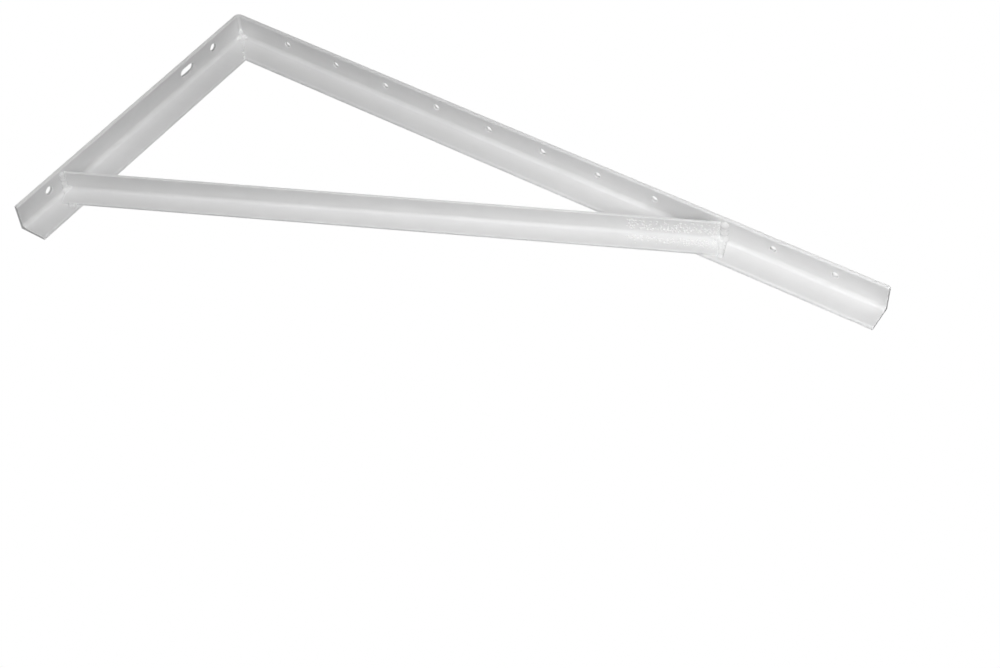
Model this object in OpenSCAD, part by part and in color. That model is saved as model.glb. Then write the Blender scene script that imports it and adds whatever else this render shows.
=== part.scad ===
// Wall bracket that carries the outdoor unit of an air conditioner.
// One angle iron is notched, folded to a right angle and closed with a weld. A lighter
// angle iron lies in its hollow as the brace, and weld beads hold both of its ends.
// +X leaves the wall along the shelf arm, +Z is up, and the hollow side faces -Y.
// The origin is midway between the two round wall bolt holes, in the plane of the wall.

/* [Frame angle] */
// Width of each leg of the frame angle
leg = 40; // [36:1:50]
// Thickness of the frame angle
thick = 4; // [3:0.5:5]
// Radius of the root fillet between the two legs
root_r = 6; // [4:0.5:7]
// Radius of the toe at the inner edge of each leg's tip
toe_r = 3; // [1:0.5:3]
// Length of the shelf arm, from the wall to its free end
shelf_len = 1000; // [940:10:1200]
// Length of the wall arm, from the shelf face down to its free end
wall_len = 450; // [430:10:600]
// Inside radius of the fold in the bolted leg
fold_r = 4; // [2:0.5:6]
// Width of the gap along the mitre that the corner weld fills
mitre_gap = 1.6; // [1:0.2:3]

/* [Bolt holes] */
// Distance of every hole from the back of the web
gauge = 24; // [20:0.5:26]
// Diameter of the shelf holes
shelf_hole_d = 9; // [7:0.5:12]
// Distance of the first shelf hole from the wall
shelf_hole_first = 90; // [60:1:100]
// Distance between two shelf holes
shelf_hole_pitch = 84; // [60:1:100]
// Least distance from the last shelf hole to the end of the arm
shelf_hole_end = 50; // [30:1:60]
// Diameter of the two round wall holes, and width of the slot
wall_hole_d = 12; // [9:0.5:14]
// Distance from the shelf face down to the upper wall hole
wall_hole_top = 62; // [50:1:80]
// Distance from the upper wall hole down to the middle of the slot
slot_drop = 56; // [40:1:90]
// Length of the slot from end to end
slot_len = 26; // [18:1:34]
// Distance from the lower wall hole to the end of the wall arm
wall_hole_end = 55; // [25:1:60]

/* [Brace angle] */
// Width of each leg of the brace angle
brace_leg = 30; // [24:1:32]
// Thickness of the brace angle
brace_thick = 3; // [2:0.5:4]
// Radius of the brace's root fillet
brace_root_r = 5; // [3:0.5:6]
// Radius of the toes of the brace
brace_toe_r = 1; // [0.5:0.5:2]
// Distance from the end of the wall arm up to the back of the brace
brace_foot_end = 85.5; // [80:0.5:120]
// Distance from the wall to the back of the brace, at the shelf arm
brace_reach = 774; // [700:1:800]
// Gap that the fitter leaves at each end of the brace before welding
fit_up = 0.5; // [0.3:0.1:1]

/* [Welds] */
// Radius of the bead between the foot of the brace and the wall arm
foot_bead_r = 4.6; // [3.5:0.1:5.5]
// Radius of the bead between the head of the brace and the shelf arm
head_bead_r = 6.4; // [5:0.1:7]
// Radius of the bead across the brace's end on the web, where it leaves the root
end_bead_r = 6; // [4:0.1:7]
// Radius of the same bead at the toe of the brace
end_toe_r = 3.8; // [3.2:0.1:5]
// Radius of the lump of weld at the root of the brace's standing leg, at both ends
root_lump_r = 8; // [6:0.5:9]
// Radius of the tack weld beside the foot of the brace
tack_r = 3.4; // [2.5:0.1:4.5]
// Distance of the tack weld from the end of the brace
tack_from_end = 13; // [8:1:30]
// Width of the seam that closes the mitre
seam_w = 4; // [3:0.2:6]
// Height of the seam above the web
seam_proud = 0.6; // [0.4:0.1:1]
// Radius of the lump of weld in the inner corner
lump_r = 6.6; // [5:0.1:8]
// Length of the lump along the two arms
lump_run = 10; // [6:1:16]
// Distance between two ripples, as a share of the bead's radius
ripple_pitch = 0.8; // [0.6:0.05:1]
// Unevenness of the ripples, as a share of the bead's radius
ripple_wave = 0.1; // [0:0.02:0.16]

/* [Hidden] */
$fn = 48;
cut = 1;
paint = [0.86, 0.87, 0.87];
bead_paint = [0.8, 0.81, 0.81];

toe = min(toe_r, thick - 0.5);
brace_toe = min(brace_toe_r, brace_thick - 0.5);
fold_outer = fold_r + thick;

// Planes of the frame: the back and the inner face of the web, the shelf face and the arm's end
back_y = gauge;
web_y = back_y - thick;
wall_hole_span = wall_len - wall_hole_top - wall_hole_end;
top_z = wall_hole_top + wall_hole_span / 2;
bottom_z = top_z - wall_len;
shelf_inner_z = top_z - thick;

shelf_hole_last = shelf_len - shelf_hole_end;
shelf_holes = [for (x = [shelf_hole_first : shelf_hole_pitch : shelf_hole_last]) x];
wall_holes = [top_z - wall_hole_top, bottom_z + wall_hole_end];
slot_z = top_z - wall_hole_top - slot_drop;

// The brace's back runs from the wall arm's inner face to the shelf arm's inner face
foot = [thick, web_y, bottom_z + brace_foot_end];
run_x = brace_reach - thick;
run_z = shelf_inner_z - foot.z;
brace_angle = atan2(run_z, run_x);
brace_run = norm([run_x, run_z]);
brace_start = fit_up / cos(brace_angle);
brace_end = brace_run - fit_up / sin(brace_angle);
// The ends of the brace are snipped where they would ride on the frame's root fillet
snipe = thick + root_r + fit_up;

// The mitre runs from the fold to the inner corner of the web
mitre_start = fold_outer * sqrt(2) - fold_r + fit_up;
mitre_end = leg * sqrt(2);
// The bead at the brace's head lies mostly beyond the brace's back
head_bead_x = brace_reach + head_bead_r * 4 / 5;
// A bead starts a little slimmer at a leg's free edge than it is at the root
bead_taper = 0.9;
// The lump in the corner thins to this share of its radius along the arms
lump_taper = 0.6;
// The axis of the tack weld stands off the flat leg's edge by this share of its radius
stand_off = 1 / 3;
// The axis of the bead across the brace's head stands further off, by this share
end_stand_off = 0.8;
// Radius of a ball whose cap is as wide and as high as the seam
seam_r = (pow(seam_w / 2, 2) + pow(seam_proud, 2)) / (2 * seam_proud);

// The corner between two straight edges, left over outside a circle of radius r
module corner_fill(r) {
    difference() {
        square(r);
        translate([r, r]) circle(r);
    }
}

// A leg lying along +X, with a rounded toe at the far end of its upper side
module leg_profile(width, t, toe) {
    difference() {
        square([width, t]);
        translate([width, t]) rotate(180) corner_fill(toe);
    }
}

// The rolled section: X runs up the hollow from the web's back, Y inwards from the other leg
module angle_profile(width, t, root, toe) {
    union() {
        leg_profile(width, t, toe);
        mirror([1, -1]) leg_profile(width, t, toe);
        translate([t, t]) corner_fill(root);
    }
}

// The part of the section that is left where the bolted leg is folded round the corner
module web_profile() {
    difference() {
        angle_profile(leg, thick, root_r, toe);
        translate([-cut, -cut]) square([leg + 2 * cut, thick + cut]);
    }
}

// Turns a profile so that it runs along +X, with its X towards -Y and its Y towards -Z
module along_x(length) {
    rotate([-90, 0, 0]) rotate([0, 90, 0]) linear_extrude(length) children();
}

// Turns a profile so that it runs along +Z, with its X towards -Y and its Y towards +X
module along_z(length) {
    rotate([0, 0, -90]) linear_extrude(length) children();
}

// One arm's side of the mitre, as a block: the shelf arm's, or the wall arm's below it
module mitre_side(shelf_side) {
    reach = leg + cut;
    end_x = shelf_len + cut;
    end_z = -wall_len - cut;
    points = shelf_side
        ? [[-cut, cut], [end_x, cut], [end_x, -reach], [reach, -reach]]
        : [[-cut, cut], [reach, -reach], [reach, end_z], [-cut, end_z]];
    translate([0, back_y + cut, top_z]) rotate([90, 0, 0])
        linear_extrude(leg + 2 * cut) polygon(points);
}

module shelf_arm() {
    intersection() {
        translate([0, back_y, top_z]) union() {
            along_x(fold_outer) web_profile();
            translate([fold_outer, 0, 0]) along_x(shelf_len - fold_outer)
                angle_profile(leg, thick, root_r, toe);
        }
        mitre_side(true);
    }
}

module wall_arm() {
    intersection() {
        translate([0, back_y, bottom_z]) union() {
            along_z(wall_len) web_profile();
            along_z(wall_len - fold_outer) angle_profile(leg, thick, root_r, toe);
        }
        mitre_side(false);
    }
}

// The bolted leg, bent through a right angle between the two arms
module fold() {
    translate([fold_outer, back_y, top_z - fold_outer])
        rotate([90, 0, 0]) rotate([0, 0, 90]) rotate_extrude(angle = 90)
            translate([fold_outer, 0]) rotate(90) leg_profile(leg, thick, toe);
}

// The mitre's plane, as a frame of axes: X along the mitre, Z across it
module on_mitre() {
    translate([0, 0, top_z]) rotate([0, 45, 0]) children();
}

module mitre_slit() {
    on_mitre() translate([mitre_start, web_y - root_r - cut, -mitre_gap / 2])
        cube([mitre_end - mitre_start + cut, thick + root_r + 2 * cut, mitre_gap]);
}

module shelf_drilling() {
    for (x = shelf_holes)
        translate([x, 0, shelf_inner_z - cut]) cylinder(d = shelf_hole_d, h = thick + 2 * cut);
}

module wall_drill(z) {
    translate([-cut, 0, z]) rotate([0, 90, 0]) cylinder(d = wall_hole_d, h = thick + 2 * cut);
}

module wall_drilling() {
    half = (slot_len - wall_hole_d) / 2;
    for (z = wall_holes) wall_drill(z);
    for (z = [slot_z - half, slot_z + half]) wall_drill(z);
    translate([-cut, -wall_hole_d / 2, slot_z - half]) cube([thick + 2 * cut, wall_hole_d, 2 * half]);
}

module frame_blank() {
    difference() {
        union() {
            shelf_arm();
            wall_arm();
            fold();
        }
        mitre_slit();
    }
}

// The brace's own axes: X along its back, and the hollow of its section towards -Z
module on_brace() {
    translate(foot) rotate([0, -brace_angle, 0]) children();
}

module brace_blank() {
    difference() {
        on_brace() translate([brace_start, 0, 0]) along_x(brace_end - brace_start)
            angle_profile(brace_leg, brace_thick, brace_root_r, brace_toe);
        translate([0, back_y - snipe, foot.z - leg]) cube([snipe, snipe, 2 * leg]);
        translate([brace_reach - leg, back_y - snipe, top_z - snipe]) cube([3 * leg, snipe, snipe]);
    }
}

// A straight run of weld along +Z: round ripples of uneven size, turned on one axis
module bead(length, start_r, end_r, wave = ripple_wave) {
    widest = max(start_r, end_r);
    count = max(1, floor(length / (min(start_r, end_r) * ripple_pitch)));
    rotate_extrude() intersection() {
        for (i = [0 : count]) {
            share = i / count;
            r = start_r * (1 - share) + end_r * share;
            translate([0, share * length]) circle(r * (1 + wave * sin(200 * i)));
        }
        translate([0, -2 * widest]) square([2 * widest, length + 4 * widest]);
    }
}

module frame() {
    color(paint) difference() {
        frame_blank();
        shelf_drilling();
        wall_drilling();
    }
}

module brace() {
    color(paint) brace_blank();
}

// Everything on the hollow side of the frame's inner faces
module in_hollow() {
    intersection() {
        children();
        translate([thick, web_y - 2 * leg, bottom_z])
            cube([shelf_len - thick, 2 * leg, shelf_inner_z - bottom_z]);
    }
}

// A low seam on one face of the web: the caps of a run of balls that lie deep in it
module seam(face_y, outwards) {
    run = mitre_end - mitre_start - 2 * thick;
    deep = outwards * (seam_proud - seam_r);
    on_mitre() intersection() {
        translate([mitre_start + thick, face_y + deep, 0]) rotate([0, 90, 0])
            bead(run, seam_r, seam_r, 0);
        translate([mitre_start, outwards < 0 ? face_y - leg : face_y, -leg / 2])
            cube([mitre_end - mitre_start, leg, leg]);
    }
}

// The lump of weld in the inner corner, which runs out along the fold and both arms
module corner_lump() {
    in_hollow() translate([thick, web_y, shelf_inner_z]) {
        rotate([90, 0, 0]) bead(lump_run, lump_r, lump_r * lump_taper);
        rotate([0, 90, 0]) bead(lump_run, lump_r, lump_r * lump_taper);
        rotate([180, 0, 0]) bead(lump_run, lump_r, lump_r * lump_taper);
    }
}

// The closed mitre: filler in the slit, a low seam on both faces and a lump in the corner
module corner_weld() {
    color(bead_paint) difference() {
        union() {
            on_mitre() translate([mitre_start, web_y, -mitre_gap / 2])
                cube([mitre_end - mitre_start, thick, mitre_gap]);
            seam(web_y, -1);
            seam(back_y, 1);
            corner_lump();
        }
        frame_blank();
    }
}

// The bead stands in the wedge between the wall arm and the standing leg's end
module foot_weld() {
    color(bead_paint) difference() {
        in_hollow() {
            translate([thick, web_y - brace_leg + foot_bead_r / 2, foot.z - foot_bead_r])
                rotate([-90, 0, 0])
                    bead(brace_leg - foot_bead_r / 2, foot_bead_r * bead_taper, foot_bead_r);
            translate([thick, web_y, foot.z - root_lump_r / 2]) sphere(root_lump_r);
        }
        frame_blank();
        brace_blank();
    }
}

module foot_tack() {
    color(bead_paint) difference() {
        in_hollow() on_brace() translate([tack_from_end, 0, -brace_leg - tack_r * stand_off])
            rotate([0, 90, 0]) bead(tack_r, tack_r, tack_r);
        frame_blank();
        brace_blank();
    }
}

// One bead stands beside the standing leg's end, the other crosses the flat leg's end
module head_weld() {
    color(bead_paint) difference() {
        in_hollow() {
            translate([head_bead_x, web_y - brace_leg + head_bead_r / 2, shelf_inner_z])
                rotate([-90, 0, 0])
                    bead(brace_leg - head_bead_r / 2, head_bead_r * bead_taper, head_bead_r);
            on_brace() translate([brace_end + end_toe_r * end_stand_off, 0, -brace_leg])
                bead(brace_leg - head_bead_r, end_toe_r, end_bead_r);
            translate([brace_reach + root_lump_r / 4, web_y, shelf_inner_z])
                sphere(root_lump_r);
        }
        frame_blank();
        brace_blank();
    }
}

frame();
brace();
corner_weld();
foot_weld();
foot_tack();
head_weld();
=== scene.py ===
"""Looks for a welded angle iron wall bracket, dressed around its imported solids.

The bracket is one folded angle iron with a lighter angle iron as its brace, held by weld
beads and coated white all over. The solids give every large form. This script adds the
softness of the edges, the run-together weld beads, the thin tail and the fine drops of weld
metal beside them, and the powder coat. It also sets the studio: a pale floor, soft lamps and
a camera that looks up into the hollow side.

Everything is in metres, in the frame of the solids: +X leaves the wall along the shelf arm,
+Z is up and the hollow side faces -Y.
"""

import logging
import math
import random
from dataclasses import dataclass
from enum import Enum

import bmesh
import bpy
from mathutils import Matrix, Vector


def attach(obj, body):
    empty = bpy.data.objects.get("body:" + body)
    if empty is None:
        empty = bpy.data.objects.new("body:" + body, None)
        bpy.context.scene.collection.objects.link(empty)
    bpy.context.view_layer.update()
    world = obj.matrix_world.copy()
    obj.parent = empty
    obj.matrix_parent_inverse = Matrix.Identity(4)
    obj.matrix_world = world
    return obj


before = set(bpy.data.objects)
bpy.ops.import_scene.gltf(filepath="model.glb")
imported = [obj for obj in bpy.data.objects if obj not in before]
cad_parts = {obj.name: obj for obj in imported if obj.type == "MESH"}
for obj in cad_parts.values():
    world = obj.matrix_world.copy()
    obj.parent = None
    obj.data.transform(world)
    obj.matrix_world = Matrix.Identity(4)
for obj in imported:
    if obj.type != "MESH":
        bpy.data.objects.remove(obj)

log = logging.getLogger("bracket")

MM = 0.001
BODY = "root"

Colour = tuple[float, float, float]
Place = tuple[float, float, float]

EVEN: Place = (1.0, 1.0, 1.0)
WHITE = (1.0, 1.0, 1.0, 1.0)
CLOSED_SAMPLES = 8
BALL_STEPS = 2


class Slot(Enum):
    """The record's material slots."""

    STEEL = "painted_steel"
    WELD = "painted_weld"


def seen_rays(tree: bpy.types.NodeTree) -> bpy.types.NodeSocket:
    """One for the rays that show the background itself or its mirror image, else zero.

    Args:
        tree: The node tree that asks.

    Returns:
        The value socket.
    """
    path = tree.nodes.new("ShaderNodeLightPath")
    found = path.outputs["Is Camera Ray"]
    for other in ("Is Glossy Ray", "Is Transmission Ray"):
        either = tree.nodes.new("ShaderNodeMath")
        either.operation = "MAXIMUM"
        tree.links.new(found, either.inputs[0])
        tree.links.new(path.outputs[other], either.inputs[1])
        found = either.outputs["Value"]
    return found


class Wiring:
    """A short way to write one material's node tree."""

    def __init__(self, name: str) -> None:
        """Starts a material that holds only a Principled shader and its output.

        Args:
            name: The material's name.
        """
        self.material = bpy.data.materials.new(name)
        self.material.use_nodes = True
        self.tree = self.material.node_tree
        self.shader = self.tree.nodes["Principled BSDF"]

    def add(self, kind: str, **settings: object) -> bpy.types.Node:
        """Adds a node.

        Args:
            kind: The node's type, such as ShaderNodeTexNoise.
            **settings: Values for the node's own properties, or for the inputs of that name.

        Returns:
            The new node.
        """
        node = self.tree.nodes.new(kind)
        for key, value in settings.items():
            if key in node.inputs:
                node.inputs[key].default_value = value
            else:
                setattr(node, key, value)
        return node

    def join(self, source: bpy.types.NodeSocket, target: bpy.types.NodeSocket) -> None:
        """Links one socket to another.

        Args:
            source: The output that the value comes from.
            target: The input that it goes to.
        """
        self.tree.links.new(source, target)

    def place(self, stretch: Place = EVEN, tilt: float = 0.0) -> bpy.types.NodeSocket:
        """The surface point in metres, turned about Y and stretched along the axes.

        Args:
            stretch: How often the pattern repeats along each axis, relative to the others.
            tilt: The turn about Y in radians, so that the first axis follows a sloping iron.

        Returns:
            The vector socket to feed into a texture.
        """
        point = self.add("ShaderNodeTexCoord").outputs["Object"]
        turned = self.add("ShaderNodeMapping")
        turned.inputs["Rotation"].default_value = (0.0, tilt, 0.0)
        self.join(point, turned.inputs["Vector"])
        scaled = self.add("ShaderNodeMapping")
        scaled.inputs["Scale"].default_value = stretch
        self.join(turned.outputs["Vector"], scaled.inputs["Vector"])
        return scaled.outputs["Vector"]

    def noise(self, point: bpy.types.NodeSocket, size: float, detail: float = 2.0,
              roughness: float = 0.5) -> bpy.types.NodeSocket:
        """A noise texture whose blotches are about one size.

        Args:
            point: Where the texture is read.
            size: The size of a blotch in metres.
            detail: How many finer octaves are added.
            roughness: How strong the finer octaves are.

        Returns:
            The noise value, from 0 to 1.
        """
        node = self.add("ShaderNodeTexNoise", Scale=1.0 / size, Detail=detail,
                        Roughness=roughness)
        self.join(point, node.inputs["Vector"])
        return node.outputs["Fac"]

    def spread(self, value: bpy.types.NodeSocket, low: float, high: float,
               start: float = 0.3, end: float = 0.7) -> bpy.types.NodeSocket:
        """Maps a texture's middle range onto new limits.

        Args:
            value: The value to map.
            low: The result at and below start.
            high: The result at and above end.
            start: The value that gives low.
            end: The value that gives high.

        Returns:
            The mapped value.
        """
        node = self.add("ShaderNodeMapRange")
        limits = {"From Min": start, "From Max": end, "To Min": low, "To Max": high}
        for key, number in limits.items():
            node.inputs[key].default_value = number
        self.join(value, node.inputs["Value"])
        return node.outputs["Result"]

    def number(self, value: float) -> bpy.types.NodeSocket:
        """A constant.

        Args:
            value: Its value.

        Returns:
            The value socket.
        """
        node = self.add("ShaderNodeValue")
        node.outputs["Value"].default_value = value
        return node.outputs["Value"]

    def multiply(self, one: bpy.types.NodeSocket,
                 other: bpy.types.NodeSocket) -> bpy.types.NodeSocket:
        """The product of two values.

        Args:
            one: The first value.
            other: The second value.

        Returns:
            The product.
        """
        node = self.add("ShaderNodeMath", operation="MULTIPLY")
        self.join(one, node.inputs[0])
        self.join(other, node.inputs[1])
        return node.outputs["Value"]

    def bump(self, height: bpy.types.NodeSocket, depth: float,
             under: bpy.types.NodeSocket | None = None) -> bpy.types.NodeSocket:
        """Raises the surface by a height map.

        Args:
            height: The map, from 0 to 1.
            depth: The height in metres of a map value of 1.
            under: The normal of a coarser bump that this one lies on.

        Returns:
            The new normal.
        """
        node = self.add("ShaderNodeBump", Strength=1.0, Distance=depth)
        self.join(height, node.inputs["Height"])
        if under is not None:
            self.join(under, node.inputs["Normal"])
        return node.outputs["Normal"]

    def tint(self, shade: bpy.types.NodeSocket, dark: Colour, light: Colour,
             crease_shade: float, reach: float) -> None:
        """Colours the surface between two colours, and paints shade into it: a little darker
        where it is closed in, in gaps, creases and fillets.

        Args:
            shade: A value from 0, which gives the dark colour, to 1, which gives the light one.
            dark: The dark colour.
            light: The light colour.
            crease_shade: The share of the colour that is left deep in a gap, where the painted
                shade is darkest.
            reach: How wide a gap still counts, in metres.
        """
        ramp = self.add("ShaderNodeValToRGB")
        ramp.color_ramp.elements[0].color = (*dark, 1.0)
        ramp.color_ramp.elements[1].color = (*light, 1.0)
        self.join(shade, ramp.inputs["Fac"])
        # Painted shade: an ambient occlusion mask darkens the colour in gaps, creases and
        # fillets.
        painted_shade_ao = self.add("ShaderNodeAmbientOcclusion", samples=CLOSED_SAMPLES, Distance=reach,
                          only_local=True)
        kept = self.spread(painted_shade_ao.outputs["AO"], crease_shade, 1.0, 0.0, 1.0)
        tinted = self.add("ShaderNodeVectorMath", operation="SCALE")
        self.join(ramp.outputs["Color"], tinted.inputs[0])
        self.join(kept, tinted.inputs["Scale"])
        self.join(tinted.outputs["Vector"], self.shader.inputs["Base Color"])

    def edge(self, light: Colour, reach: float, full: float, none: float) -> None:
        """Paints highlights into the colour at the outer edges, lighter there as if light
        caught them.

        Rays that start into the metal leave it soon near an edge, so less of it is closed.

        Args:
            light: The colour of the painted highlight right on an edge.
            reach: How far from an edge it still shows, in metres.
            full: The closed share at and below which the edge colour is whole.
            none: The closed share at and above which the coat keeps its own colour.
        """
        before = self.shader.inputs["Base Color"].links[0].from_socket
        # Painted highlight: an inside ambient occlusion mask finds the convex edges and
        # lightens their colour.
        solid = self.add("ShaderNodeAmbientOcclusion", samples=CLOSED_SAMPLES, Distance=reach,
                         inside=True, only_local=True)
        highlight_share = self.spread(solid.outputs["AO"], 1.0, 0.0, full, none)
        mix = self.add("ShaderNodeMix", data_type="RGBA")
        mix.inputs["B"].default_value = (*light, 1.0)
        self.join(highlight_share, mix.inputs["Factor"])
        self.join(before, mix.inputs["A"])
        self.join(mix.outputs["Result"], self.shader.inputs["Base Color"])


@dataclass(frozen=True)
class PowderCoat:
    """White powder coat over rolled steel: half gloss, with a faint orange peel.

    The clouds and the streaks darken the coat a little, each down to its own share, and the
    streaks also raise it, drawn out along the iron as the rolls leave them. On top of that the
    colour has painted shade in its creases and fillets and painted highlights on its outer
    edges.
    """

    name: str
    tilt: float = 0.0
    light: Colour = (0.87, 0.87, 0.87)
    dark: Colour = (0.78, 0.78, 0.78)
    # Painted shade: the share of the colour left deep in creases and fillets, and how wide a
    # gap counts.
    crease_shade: float = 0.72
    reach: float = 7 * MM
    # Painted highlight: the near-white colour laid on the coat's outer edges, and how far it
    # reaches.
    edge: Colour = (0.99, 0.99, 0.99)
    edge_highlight_reach: float = 2.3 * MM
    edge_highlight_full: float = 0.5
    edge_highlight_none: float = 0.95
    gloss_low: float = 0.42
    gloss_high: float = 0.55
    peel_size: float = 1.6 * MM
    peel_depth: float = 0.02 * MM
    roll_size: float = 9 * MM
    roll_depth: float = 0.09 * MM
    roll_stretch: float = 0.12
    roll_share: float = 0.82
    cloud_size: float = 34 * MM
    cloud_share: float = 0.72

    def material(self) -> bpy.types.Material:
        """Builds the coat.

        Returns:
            The new material.
        """
        wiring = Wiring(self.name)
        even = wiring.place(tilt=self.tilt)
        along = wiring.place((self.roll_stretch, 1.0, 1.0), self.tilt)
        clouds = wiring.noise(even, self.cloud_size, detail=4.0, roughness=0.6)
        streaks = wiring.noise(along, self.roll_size, detail=3.0, roughness=0.55)
        peel = wiring.noise(even, self.peel_size, detail=1.0)
        shade = wiring.multiply(wiring.spread(clouds, self.cloud_share, 1.0),
                                wiring.spread(streaks, self.roll_share, 1.0))
        # Random tone from the clouds and streaks, with painted shade darkening creases and
        # fillets.
        wiring.tint(shade, self.dark, self.light, self.crease_shade, self.reach)
        # Paints highlights onto the outer edges of the irons.
        wiring.edge(self.edge, self.edge_highlight_reach, self.edge_highlight_full, self.edge_highlight_none)
        wiring.join(wiring.spread(clouds, self.gloss_high, self.gloss_low),
                    wiring.shader.inputs["Roughness"])
        rolled = wiring.bump(streaks, self.roll_depth)
        wiring.join(wiring.bump(peel, self.peel_depth, rolled), wiring.shader.inputs["Normal"])
        return wiring.material


@dataclass(frozen=True)
class ThickCoat:
    """The same powder coat where it has pooled over weld metal, glossier and lumpier."""

    name: str
    light: Colour = (0.96, 0.96, 0.96)
    dark: Colour = (0.84, 0.84, 0.84)
    # Painted shade: the share of the colour left deep in the beads' gaps, and how wide a gap
    # counts.
    crease_shade: float = 0.95
    reach: float = 1.5 * MM
    gloss_low: float = 0.1
    gloss_high: float = 0.22
    lump_size: float = 2.6 * MM
    lump_depth: float = 0.25 * MM
    grain_size: float = 0.7 * MM
    grain_depth: float = 0.03 * MM

    def material(self) -> bpy.types.Material:
        """Builds the coat.

        Returns:
            The new material.
        """
        wiring = Wiring(self.name)
        even = wiring.place()
        lumps = wiring.noise(even, self.lump_size, detail=3.0, roughness=0.6)
        grain = wiring.noise(even, self.grain_size, detail=1.0)
        # Random tone from the lumps, with a little painted shade where the beads are closed in.
        wiring.tint(wiring.spread(lumps, 0.0, 1.0), self.dark, self.light, self.crease_shade,
                    self.reach)
        wiring.join(wiring.spread(grain, self.gloss_low, self.gloss_high),
                    wiring.shader.inputs["Roughness"])
        lumpy = wiring.bump(lumps, self.lump_depth)
        wiring.join(wiring.bump(grain, self.grain_depth, lumpy), wiring.shader.inputs["Normal"])
        return wiring.material


@dataclass(frozen=True)
class PaleFloor:
    """A floor that keeps the bracket's shadow and glows white for the rays that see it."""

    name: str = "pale_floor"
    grey: Colour = (0.2, 0.2, 0.2)
    glow: float = 0.92
    roughness: float = 0.9
    grain_size: float = 6 * MM
    grain_depth: float = 0.1 * MM

    def material(self) -> bpy.types.Material:
        """Builds the floor's finish.

        Returns:
            The new material.
        """
        wiring = Wiring(self.name)
        even = wiring.place()
        grain = wiring.noise(even, self.grain_size)
        wiring.shader.inputs["Base Color"].default_value = (*self.grey, 1.0)
        wiring.shader.inputs["Roughness"].default_value = self.roughness
        wiring.join(wiring.bump(grain, self.grain_depth), wiring.shader.inputs["Normal"])
        glow = wiring.add("ShaderNodeEmission")
        wiring.join(wiring.multiply(seen_rays(wiring.tree), wiring.number(self.glow)),
                    glow.inputs["Strength"])
        both = wiring.add("ShaderNodeAddShader")
        wiring.join(wiring.shader.outputs["BSDF"], both.inputs[0])
        wiring.join(glow.outputs["Emission"], both.inputs[1])
        out = wiring.tree.nodes["Material Output"]
        wiring.join(both.outputs["Shader"], out.inputs["Surface"])
        return wiring.material


def dress(obj: bpy.types.Object, material: bpy.types.Material) -> None:
    """Gives a piece its one material.

    Args:
        obj: The piece.
        material: Its finish.
    """
    obj.data.materials.clear()
    obj.data.materials.append(material)


@dataclass
class Irons:
    """The folded frame iron and the brace iron, with their coat and softened edges."""

    edge_radius: float = 0.45 * MM
    edge_steps: int = 2
    edge_angle: float = math.radians(40)
    brace_tilt: float = math.radians(25.09)

    def soften(self, obj: bpy.types.Object) -> None:
        """Rounds the cut edges a little, as the coat does.

        Args:
            obj: The iron.
        """
        bevel = obj.modifiers.new("soft_edges", "BEVEL")
        bevel.width = self.edge_radius
        bevel.segments = self.edge_steps
        bevel.limit_method = "ANGLE"
        bevel.angle_limit = self.edge_angle
        bevel.harden_normals = True

    def build(self) -> list[bpy.types.Object]:
        """Dresses both irons.

        Returns:
            The two pieces.
        """
        finishes = {
            "frame": PowderCoat("frame_coat"),
            "brace": PowderCoat("brace_coat", tilt=self.brace_tilt),
        }
        pieces = [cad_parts[name] for name in finishes]
        for iron, finish in zip(pieces, finishes.values()):
            dress(iron, finish.material())
            self.soften(iron)
        return pieces


@dataclass(frozen=True)
class BraceLine:
    """Where the brace lies: its outer corner runs from the foot to the head."""

    foot: Place = (4 * MM, 20 * MM, -136 * MM)
    head: Place = (774 * MM, 20 * MM, 224.5 * MM)
    thickness: float = 3 * MM
    leg: float = 30 * MM

    @property
    def along(self) -> Vector:
        """The direction from the foot to the head."""
        return (Vector(self.head) - Vector(self.foot)).normalized()

    @property
    def down(self) -> Vector:
        """The direction into the hollow, square to the flat leg."""
        return Vector((self.along.z, 0.0, -self.along.x))

    @property
    def out(self) -> Vector:
        """The direction into the hollow, square to the standing leg."""
        return Vector((0.0, -1.0, 0.0))

    def point(self, back: float, down: float, out: float) -> Vector:
        """A point in the hollow of the brace.

        Args:
            back: The distance from the head, towards the foot.
            down: The distance from the outer corner, square to the flat leg.
            out: The distance from the outer corner, square to the standing leg.

        Returns:
            The point.
        """
        return Vector(self.head) - self.along * back + self.down * down + self.out * out


Spot = tuple[Vector, Vector, float]


def balls(name: str, spots: list[Spot], flatness: float) -> bpy.types.Object:
    """Builds one piece of many small balls.

    Args:
        name: The piece's name.
        spots: For each ball its place, the normal of the face that it sits on and its radius.
        flatness: The height of a ball as a share of its width.

    Returns:
        The piece.
    """
    ball = bmesh.new()
    for spot, normal, radius in spots:
        turn = normal.to_track_quat("Z", "Y").to_matrix().to_4x4()
        squash = Matrix.Diagonal((radius, radius, radius * flatness, 1.0))
        bmesh.ops.create_icosphere(ball, subdivisions=BALL_STEPS, radius=1.0,
                                   matrix=Matrix.Translation(spot) @ turn @ squash)
    mesh = bpy.data.meshes.new(name)
    ball.to_mesh(mesh)
    ball.free()
    mesh.polygons.foreach_set("use_smooth", [True] * len(mesh.polygons))
    piece = bpy.data.objects.new(name, mesh)
    bpy.context.scene.collection.objects.link(piece)
    return piece


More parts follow.
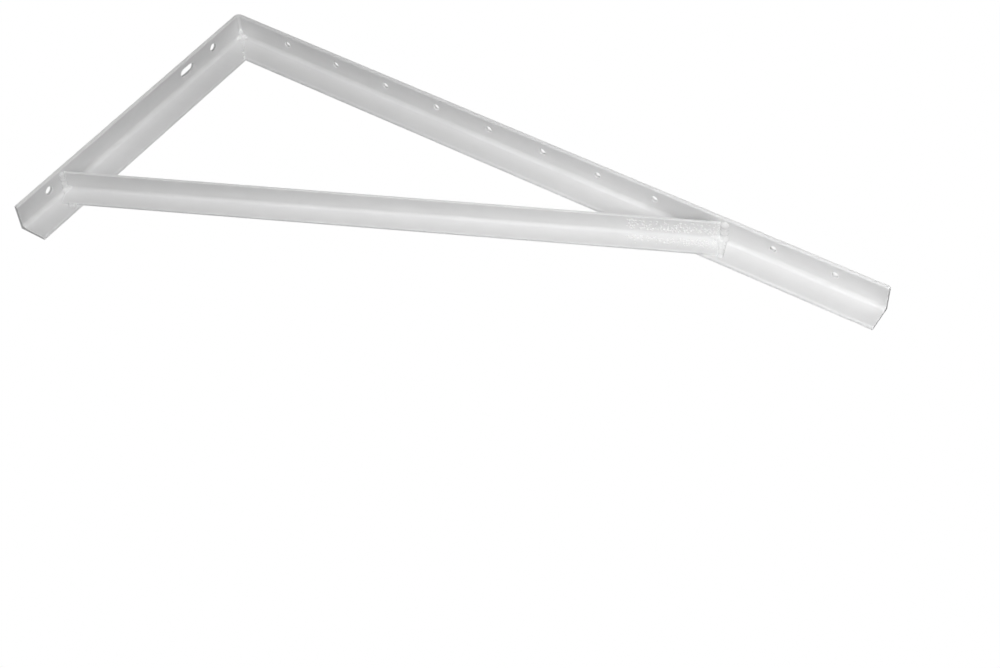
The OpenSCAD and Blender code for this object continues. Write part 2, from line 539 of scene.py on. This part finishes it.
@dataclass
class Spatter:
    """The fine balls that stuck to the brace near its head, and the drops on the seam.

    The balls lie between the brace's root and its toes, over both inner faces, and crowd
    towards the head and the root. On the standing leg they stay nearer to the root.
    """

    line: BraceLine = BraceLine()
    root: float = 8 * MM
    gap: float = 3 * MM
    spread: float = 115 * MM
    count: int = 230
    smallest: float = 1.0 * MM
    largest: float = 1.9 * MM
    size_bias: float = 1.5
    flatness: float = 0.6
    head_bias: float = 1.8
    root_bias: tuple[float, float] = (1.3, 2.6)
    flat_share: float = 0.5
    standing_share: float = 0.65
    spacing: float = 0.8
    seed: int = 11
    drops: tuple[tuple[Place, float], ...] = (
        ((29.0 * MM, 19.3 * MM, 196.6 * MM), 2.0 * MM),
        ((37.0 * MM, 19.6 * MM, 190.0 * MM), 2.5 * MM),
        ((38.6 * MM, 20.8 * MM, 188.6 * MM), 2.0 * MM),
    )

    def seam_drops(self) -> list[Spot]:
        """Places the drops that stand on the mitre's seam and at its open end.

        Returns:
            For each drop its place, the normal of the web and its radius.
        """
        return [(Vector(place), self.line.out, radius) for place, radius in self.drops]

    def spots(self) -> list[Spot]:
        """Scatters the balls, thicker towards the head.

        Returns:
            For each ball its place, the normal of the face that it sits on and its radius.
        """
        rng = random.Random(self.seed)
        line = self.line
        found: list[Spot] = []
        while len(found) < self.count:
            back = self.gap + self.spread * rng.random() ** self.head_bias
            across = self.root + (line.leg - self.root) * rng.betavariate(*self.root_bias)
            larger = rng.random() ** self.size_bias
            radius = self.smallest + (self.largest - self.smallest) * larger
            if rng.random() < self.flat_share:
                spot, normal = line.point(back, line.thickness, across), line.down
            else:
                across = self.root + self.standing_share * (across - self.root)
                spot, normal = line.point(back, across, line.thickness), line.out
            if all((spot - other).length > self.spacing * (radius + size)
                   for other, _, size in found):
                found.append((spot, normal, radius))
        return found

    def build(self) -> list[bpy.types.Object]:
        """Builds the balls at the head as one piece, and the drops on the seam as another.

        Returns:
            The two pieces.
        """
        # Painted highlight: the balls' coat is near white, lighter than the coat around them,
        # to stand in for the glints that weld spatter catches.
        finish = ThickCoat("spatter_coat_painted_glint", light=(0.99, 0.99, 0.99), dark=(0.96, 0.96, 0.96),
                           crease_shade=1.0, gloss_low=0.05, gloss_high=0.12,
                           lump_depth=0.02 * MM, grain_depth=0.005 * MM)
        coat = finish.material()
        pieces = [balls("head_spatter", self.spots(), self.flatness),
                  balls("seam_drops", self.seam_drops(), self.flatness)]
        for piece in pieces:
            dress(piece, coat)
        return pieces


@dataclass
class Welds:
    """The weld beads, run together and coated, and the thin tail of the head's weld."""

    grid: float = 0.45 * MM
    swell: float = 0.15 * MM
    corner_swell: float = 0.35 * MM
    smooth_steps: int = 6
    smooth_share: float = 0.5
    nodes: tuple[str, ...] = ("corner_weld", "foot_weld", "foot_tack", "head_weld")
    line: BraceLine = BraceLine()
    tail_depth: float = 4.2 * MM
    tail: tuple[tuple[float, float], ...] = ((1.0 * MM, 4.6 * MM), (5.0 * MM, 3.4 * MM),
                                             (9.0 * MM, 2.4 * MM))

    def melt(self, obj: bpy.types.Object) -> None:
        """Runs the ripples of a bead together, as molten metal does.

        Args:
            obj: The bead.
        """
        remesh = obj.modifiers.new("fine_grid", "REMESH")
        remesh.mode = "VOXEL"
        remesh.voxel_size = self.grid
        remesh.use_smooth_shade = True
        relax = obj.modifiers.new("relax", "SMOOTH")
        relax.iterations = self.smooth_steps
        relax.factor = self.smooth_share
        swell = obj.modifiers.new("swell", "DISPLACE")
        swell.strength = self.corner_swell if obj.name == "corner_weld" else self.swell
        swell.mid_level = 0.0

    def head_tail(self) -> bpy.types.Object:
        """The thin end of the head's lump, which runs out along the brace's root.

        Returns:
            The piece.
        """
        depth = self.tail_depth
        spots = [(self.line.point(back, depth, depth), self.line.out, radius)
                 for back, radius in self.tail]
        return balls("head_tail", spots, 1.0)

    def build(self) -> list[bpy.types.Object]:
        """Dresses every weld.

        Returns:
            The pieces.
        """
        coat = ThickCoat("weld_coat").material()
        pieces = [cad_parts[name] for name in self.nodes] + [self.head_tail()]
        for bead in pieces:
            dress(bead, coat)
            self.melt(bead)
        return pieces


@dataclass(frozen=True)
class Lamp:
    """One soft round lamp, with its width in metres and its power in watts."""

    name: str
    place: Place
    aim: Place
    size: float
    power: float

    def build(self) -> bpy.types.Object:
        """Hangs the lamp.

        Returns:
            The lamp's object.
        """
        light = bpy.data.lights.new(self.name, "AREA")
        light.shape = "DISK"
        light.size = self.size
        light.energy = self.power
        lamp = bpy.data.objects.new(self.name, light)
        bpy.context.scene.collection.objects.link(lamp)
        lamp.visible_camera = False
        lamp.location = self.place
        way = Vector(self.aim) - Vector(self.place)
        lamp.rotation_euler = way.to_track_quat("-Z", "Y").to_euler()
        return lamp


@dataclass
class Studio:
    """The floor, the world, the lamps and the camera.

    The camera's values come from a fit of the bracket's edges and holes to their places in
    the photograph. The angles say where the camera stands, seen from the bracket.
    """

    floor_drop: float = 1.7
    floor_side: float = 90.0
    fill: float = 0.02
    lens: float = 64.954
    sensor: float = 36.0
    nearest: float = 0.05
    farthest: float = 100.0
    camera_place: Place = (1.46756, -1.60626, -1.20825)
    azimuth: float = math.radians(27.3445)
    elevation: float = math.radians(-32.2675)
    roll: float = math.radians(40.7458)
    lamps: tuple[Lamp, ...] = (
        Lamp("near_end", (1.2, -0.6, -0.3), (0.7, 0.0, 0.1), 0.6, 3.75),
        Lamp("below", (0.9, -0.9, -0.7), (0.7, 0.0, 0.1), 0.6, 3.1),
        Lamp("front", (0.15, -1.93, -0.16), (0.4, 0.0, 0.05), 0.6, 11.3),
        Lamp("under", (0.6, 0.1, -1.3), (0.5, 0.0, 0.05), 0.8, 1.9),
        Lamp("top", (0.5, 0.2, 2.4), (0.5, 0.1, 0.1), 1.6, 32.0),
        Lamp("behind", (0.4, 2.4, 0.5), (0.5, 0.0, 0.1), 1.6, 34.0),
        Lamp("wall_side", (-2.2, 0.9, 0.6), (0.0, 0.0, 0.0), 1.4, 22.0),
    )

    def floor(self) -> bpy.types.Object:
        """Lays the floor.

        Returns:
            The floor's object.
        """
        half = self.floor_side / 2
        mesh = bpy.data.meshes.new("floor")
        square = ((-half, -half), (half, -half), (half, half), (-half, half))
        corners = [(x, y, -self.floor_drop) for x, y in square]
        mesh.from_pydata(corners, [], [(0, 1, 2, 3)])
        floor = bpy.data.objects.new("floor", mesh)
        bpy.context.scene.collection.objects.link(floor)
        mesh.materials.append(PaleFloor().material())
        return floor

    def world(self) -> None:
        """White where the camera or a reflection looks, and a faint fill for the surfaces."""
        world = bpy.data.worlds.new("studio")
        bpy.context.scene.world = world
        world.use_nodes = True
        tree = world.node_tree
        tree.nodes.clear()
        fill = tree.nodes.new("ShaderNodeBackground")
        fill.inputs["Color"].default_value = WHITE
        fill.inputs["Strength"].default_value = self.fill
        white = tree.nodes.new("ShaderNodeBackground")
        white.inputs["Color"].default_value = WHITE
        white.inputs["Strength"].default_value = 1.0
        mix = tree.nodes.new("ShaderNodeMixShader")
        tree.links.new(seen_rays(tree), mix.inputs["Fac"])
        tree.links.new(fill.outputs["Background"], mix.inputs[1])
        tree.links.new(white.outputs["Background"], mix.inputs[2])
        out = tree.nodes.new("ShaderNodeOutputWorld")
        tree.links.new(mix.outputs["Shader"], out.inputs["Surface"])

    def camera(self) -> bpy.types.Object:
        """Sets the camera below and in front of the shelf arm's free end, looking up.

        Returns:
            The camera's object.
        """
        data = bpy.data.cameras.new("camera")
        data.lens = self.lens
        data.sensor_width = self.sensor
        data.clip_start = self.nearest
        data.clip_end = self.farthest
        camera = bpy.data.objects.new("camera", data)
        bpy.context.scene.collection.objects.link(camera)
        back = Vector((math.sin(self.azimuth) * math.cos(self.elevation),
                       -math.cos(self.azimuth) * math.cos(self.elevation),
                       math.sin(self.elevation)))
        level = (-back).to_track_quat("-Z", "Y").to_matrix().to_4x4()
        camera.matrix_world = (Matrix.Translation(self.camera_place) @ level
                               @ Matrix.Rotation(self.roll, 4, "Z"))
        bpy.context.scene.camera = camera
        return camera

    def build(self) -> None:
        """Sets up everything that isn't the bracket."""
        self.camera()
        self.floor()
        self.world()
        for lamp in self.lamps:
            lamp.build()
        bpy.context.scene.view_settings.view_transform = "Standard"


def main() -> None:
    """Builds the studio and dresses the bracket."""
    logging.basicConfig(level=logging.INFO, format="%(name)s: %(message)s")
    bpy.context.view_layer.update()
    Studio().build()
    for group in (Irons(), Welds(), Spatter()):
        for piece in group.build():
            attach(piece, BODY)
            log.info("%s: %d faces", piece.name, len(piece.data.polygons))


if __name__ == "__main__":
    main()
